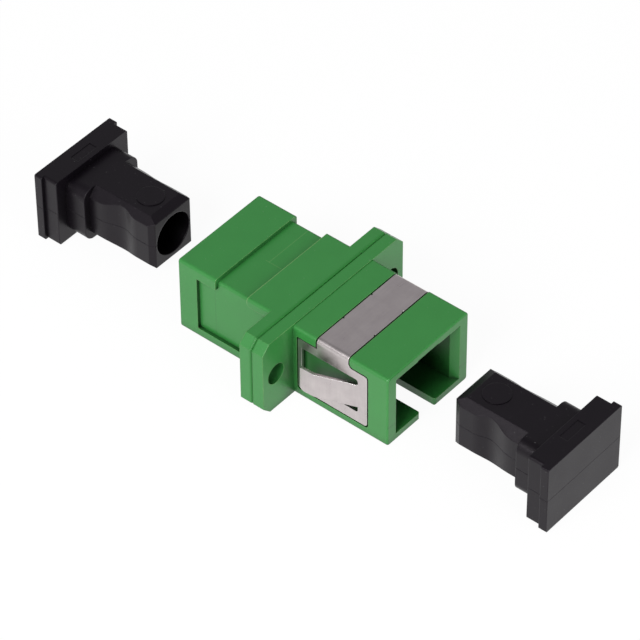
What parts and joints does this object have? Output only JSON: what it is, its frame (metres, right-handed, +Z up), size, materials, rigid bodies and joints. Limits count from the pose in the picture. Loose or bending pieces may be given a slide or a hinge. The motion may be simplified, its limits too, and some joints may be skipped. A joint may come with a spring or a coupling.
{
  "type": "simplex fibre optic adapter",
  "caption": "Moulded simplex fibre adapter in two halves with flange ears, folded steel panel clip, split alignment sleeve, hooked latch holders and push-in dust plugs shown taken off.",
  "frame": {"origin": "centre of the alignment sleeve, where the mating axis crosses the seam of the two halves", "axes": "+X along the mating axis to the port on the clip side, +Z up with the keyways down, +Y to the flange ear on the left seen from the front port"},
  "size_m": [0.0671, 0.022, 0.0093],
  "materials": {
    "green_moulding": "satin moulded",
    "latch_moulding": "satin moulded",
    "white_ceramic": "polished",
    "spring_steel": "rolled sheet",
    "black_moulding": "satin moulded"
  },
  "bodies": {
    "adapter": {"front_housing": "green_moulding", "rear_housing": "green_moulding", "front_latch_holder": "latch_moulding", "rear_latch_holder": "latch_moulding", "alignment_sleeve": "white_ceramic", "panel_clip": "spring_steel"},
    "front_plug": {"front_plug": "black_moulding"},
    "rear_plug": {"rear_plug": "black_moulding"}
  },
  "joints": [
    {"name": "front_plug_slide", "type": "slide", "parent": "adapter", "child": "front_plug", "axis": [-1, 0, 0], "range_m": [0, 0.0167]},
    {"name": "rear_plug_slide", "type": "slide", "parent": "adapter", "child": "rear_plug", "axis": [1, 0, 0], "range_m": [0, 0.0174]}
  ]
}
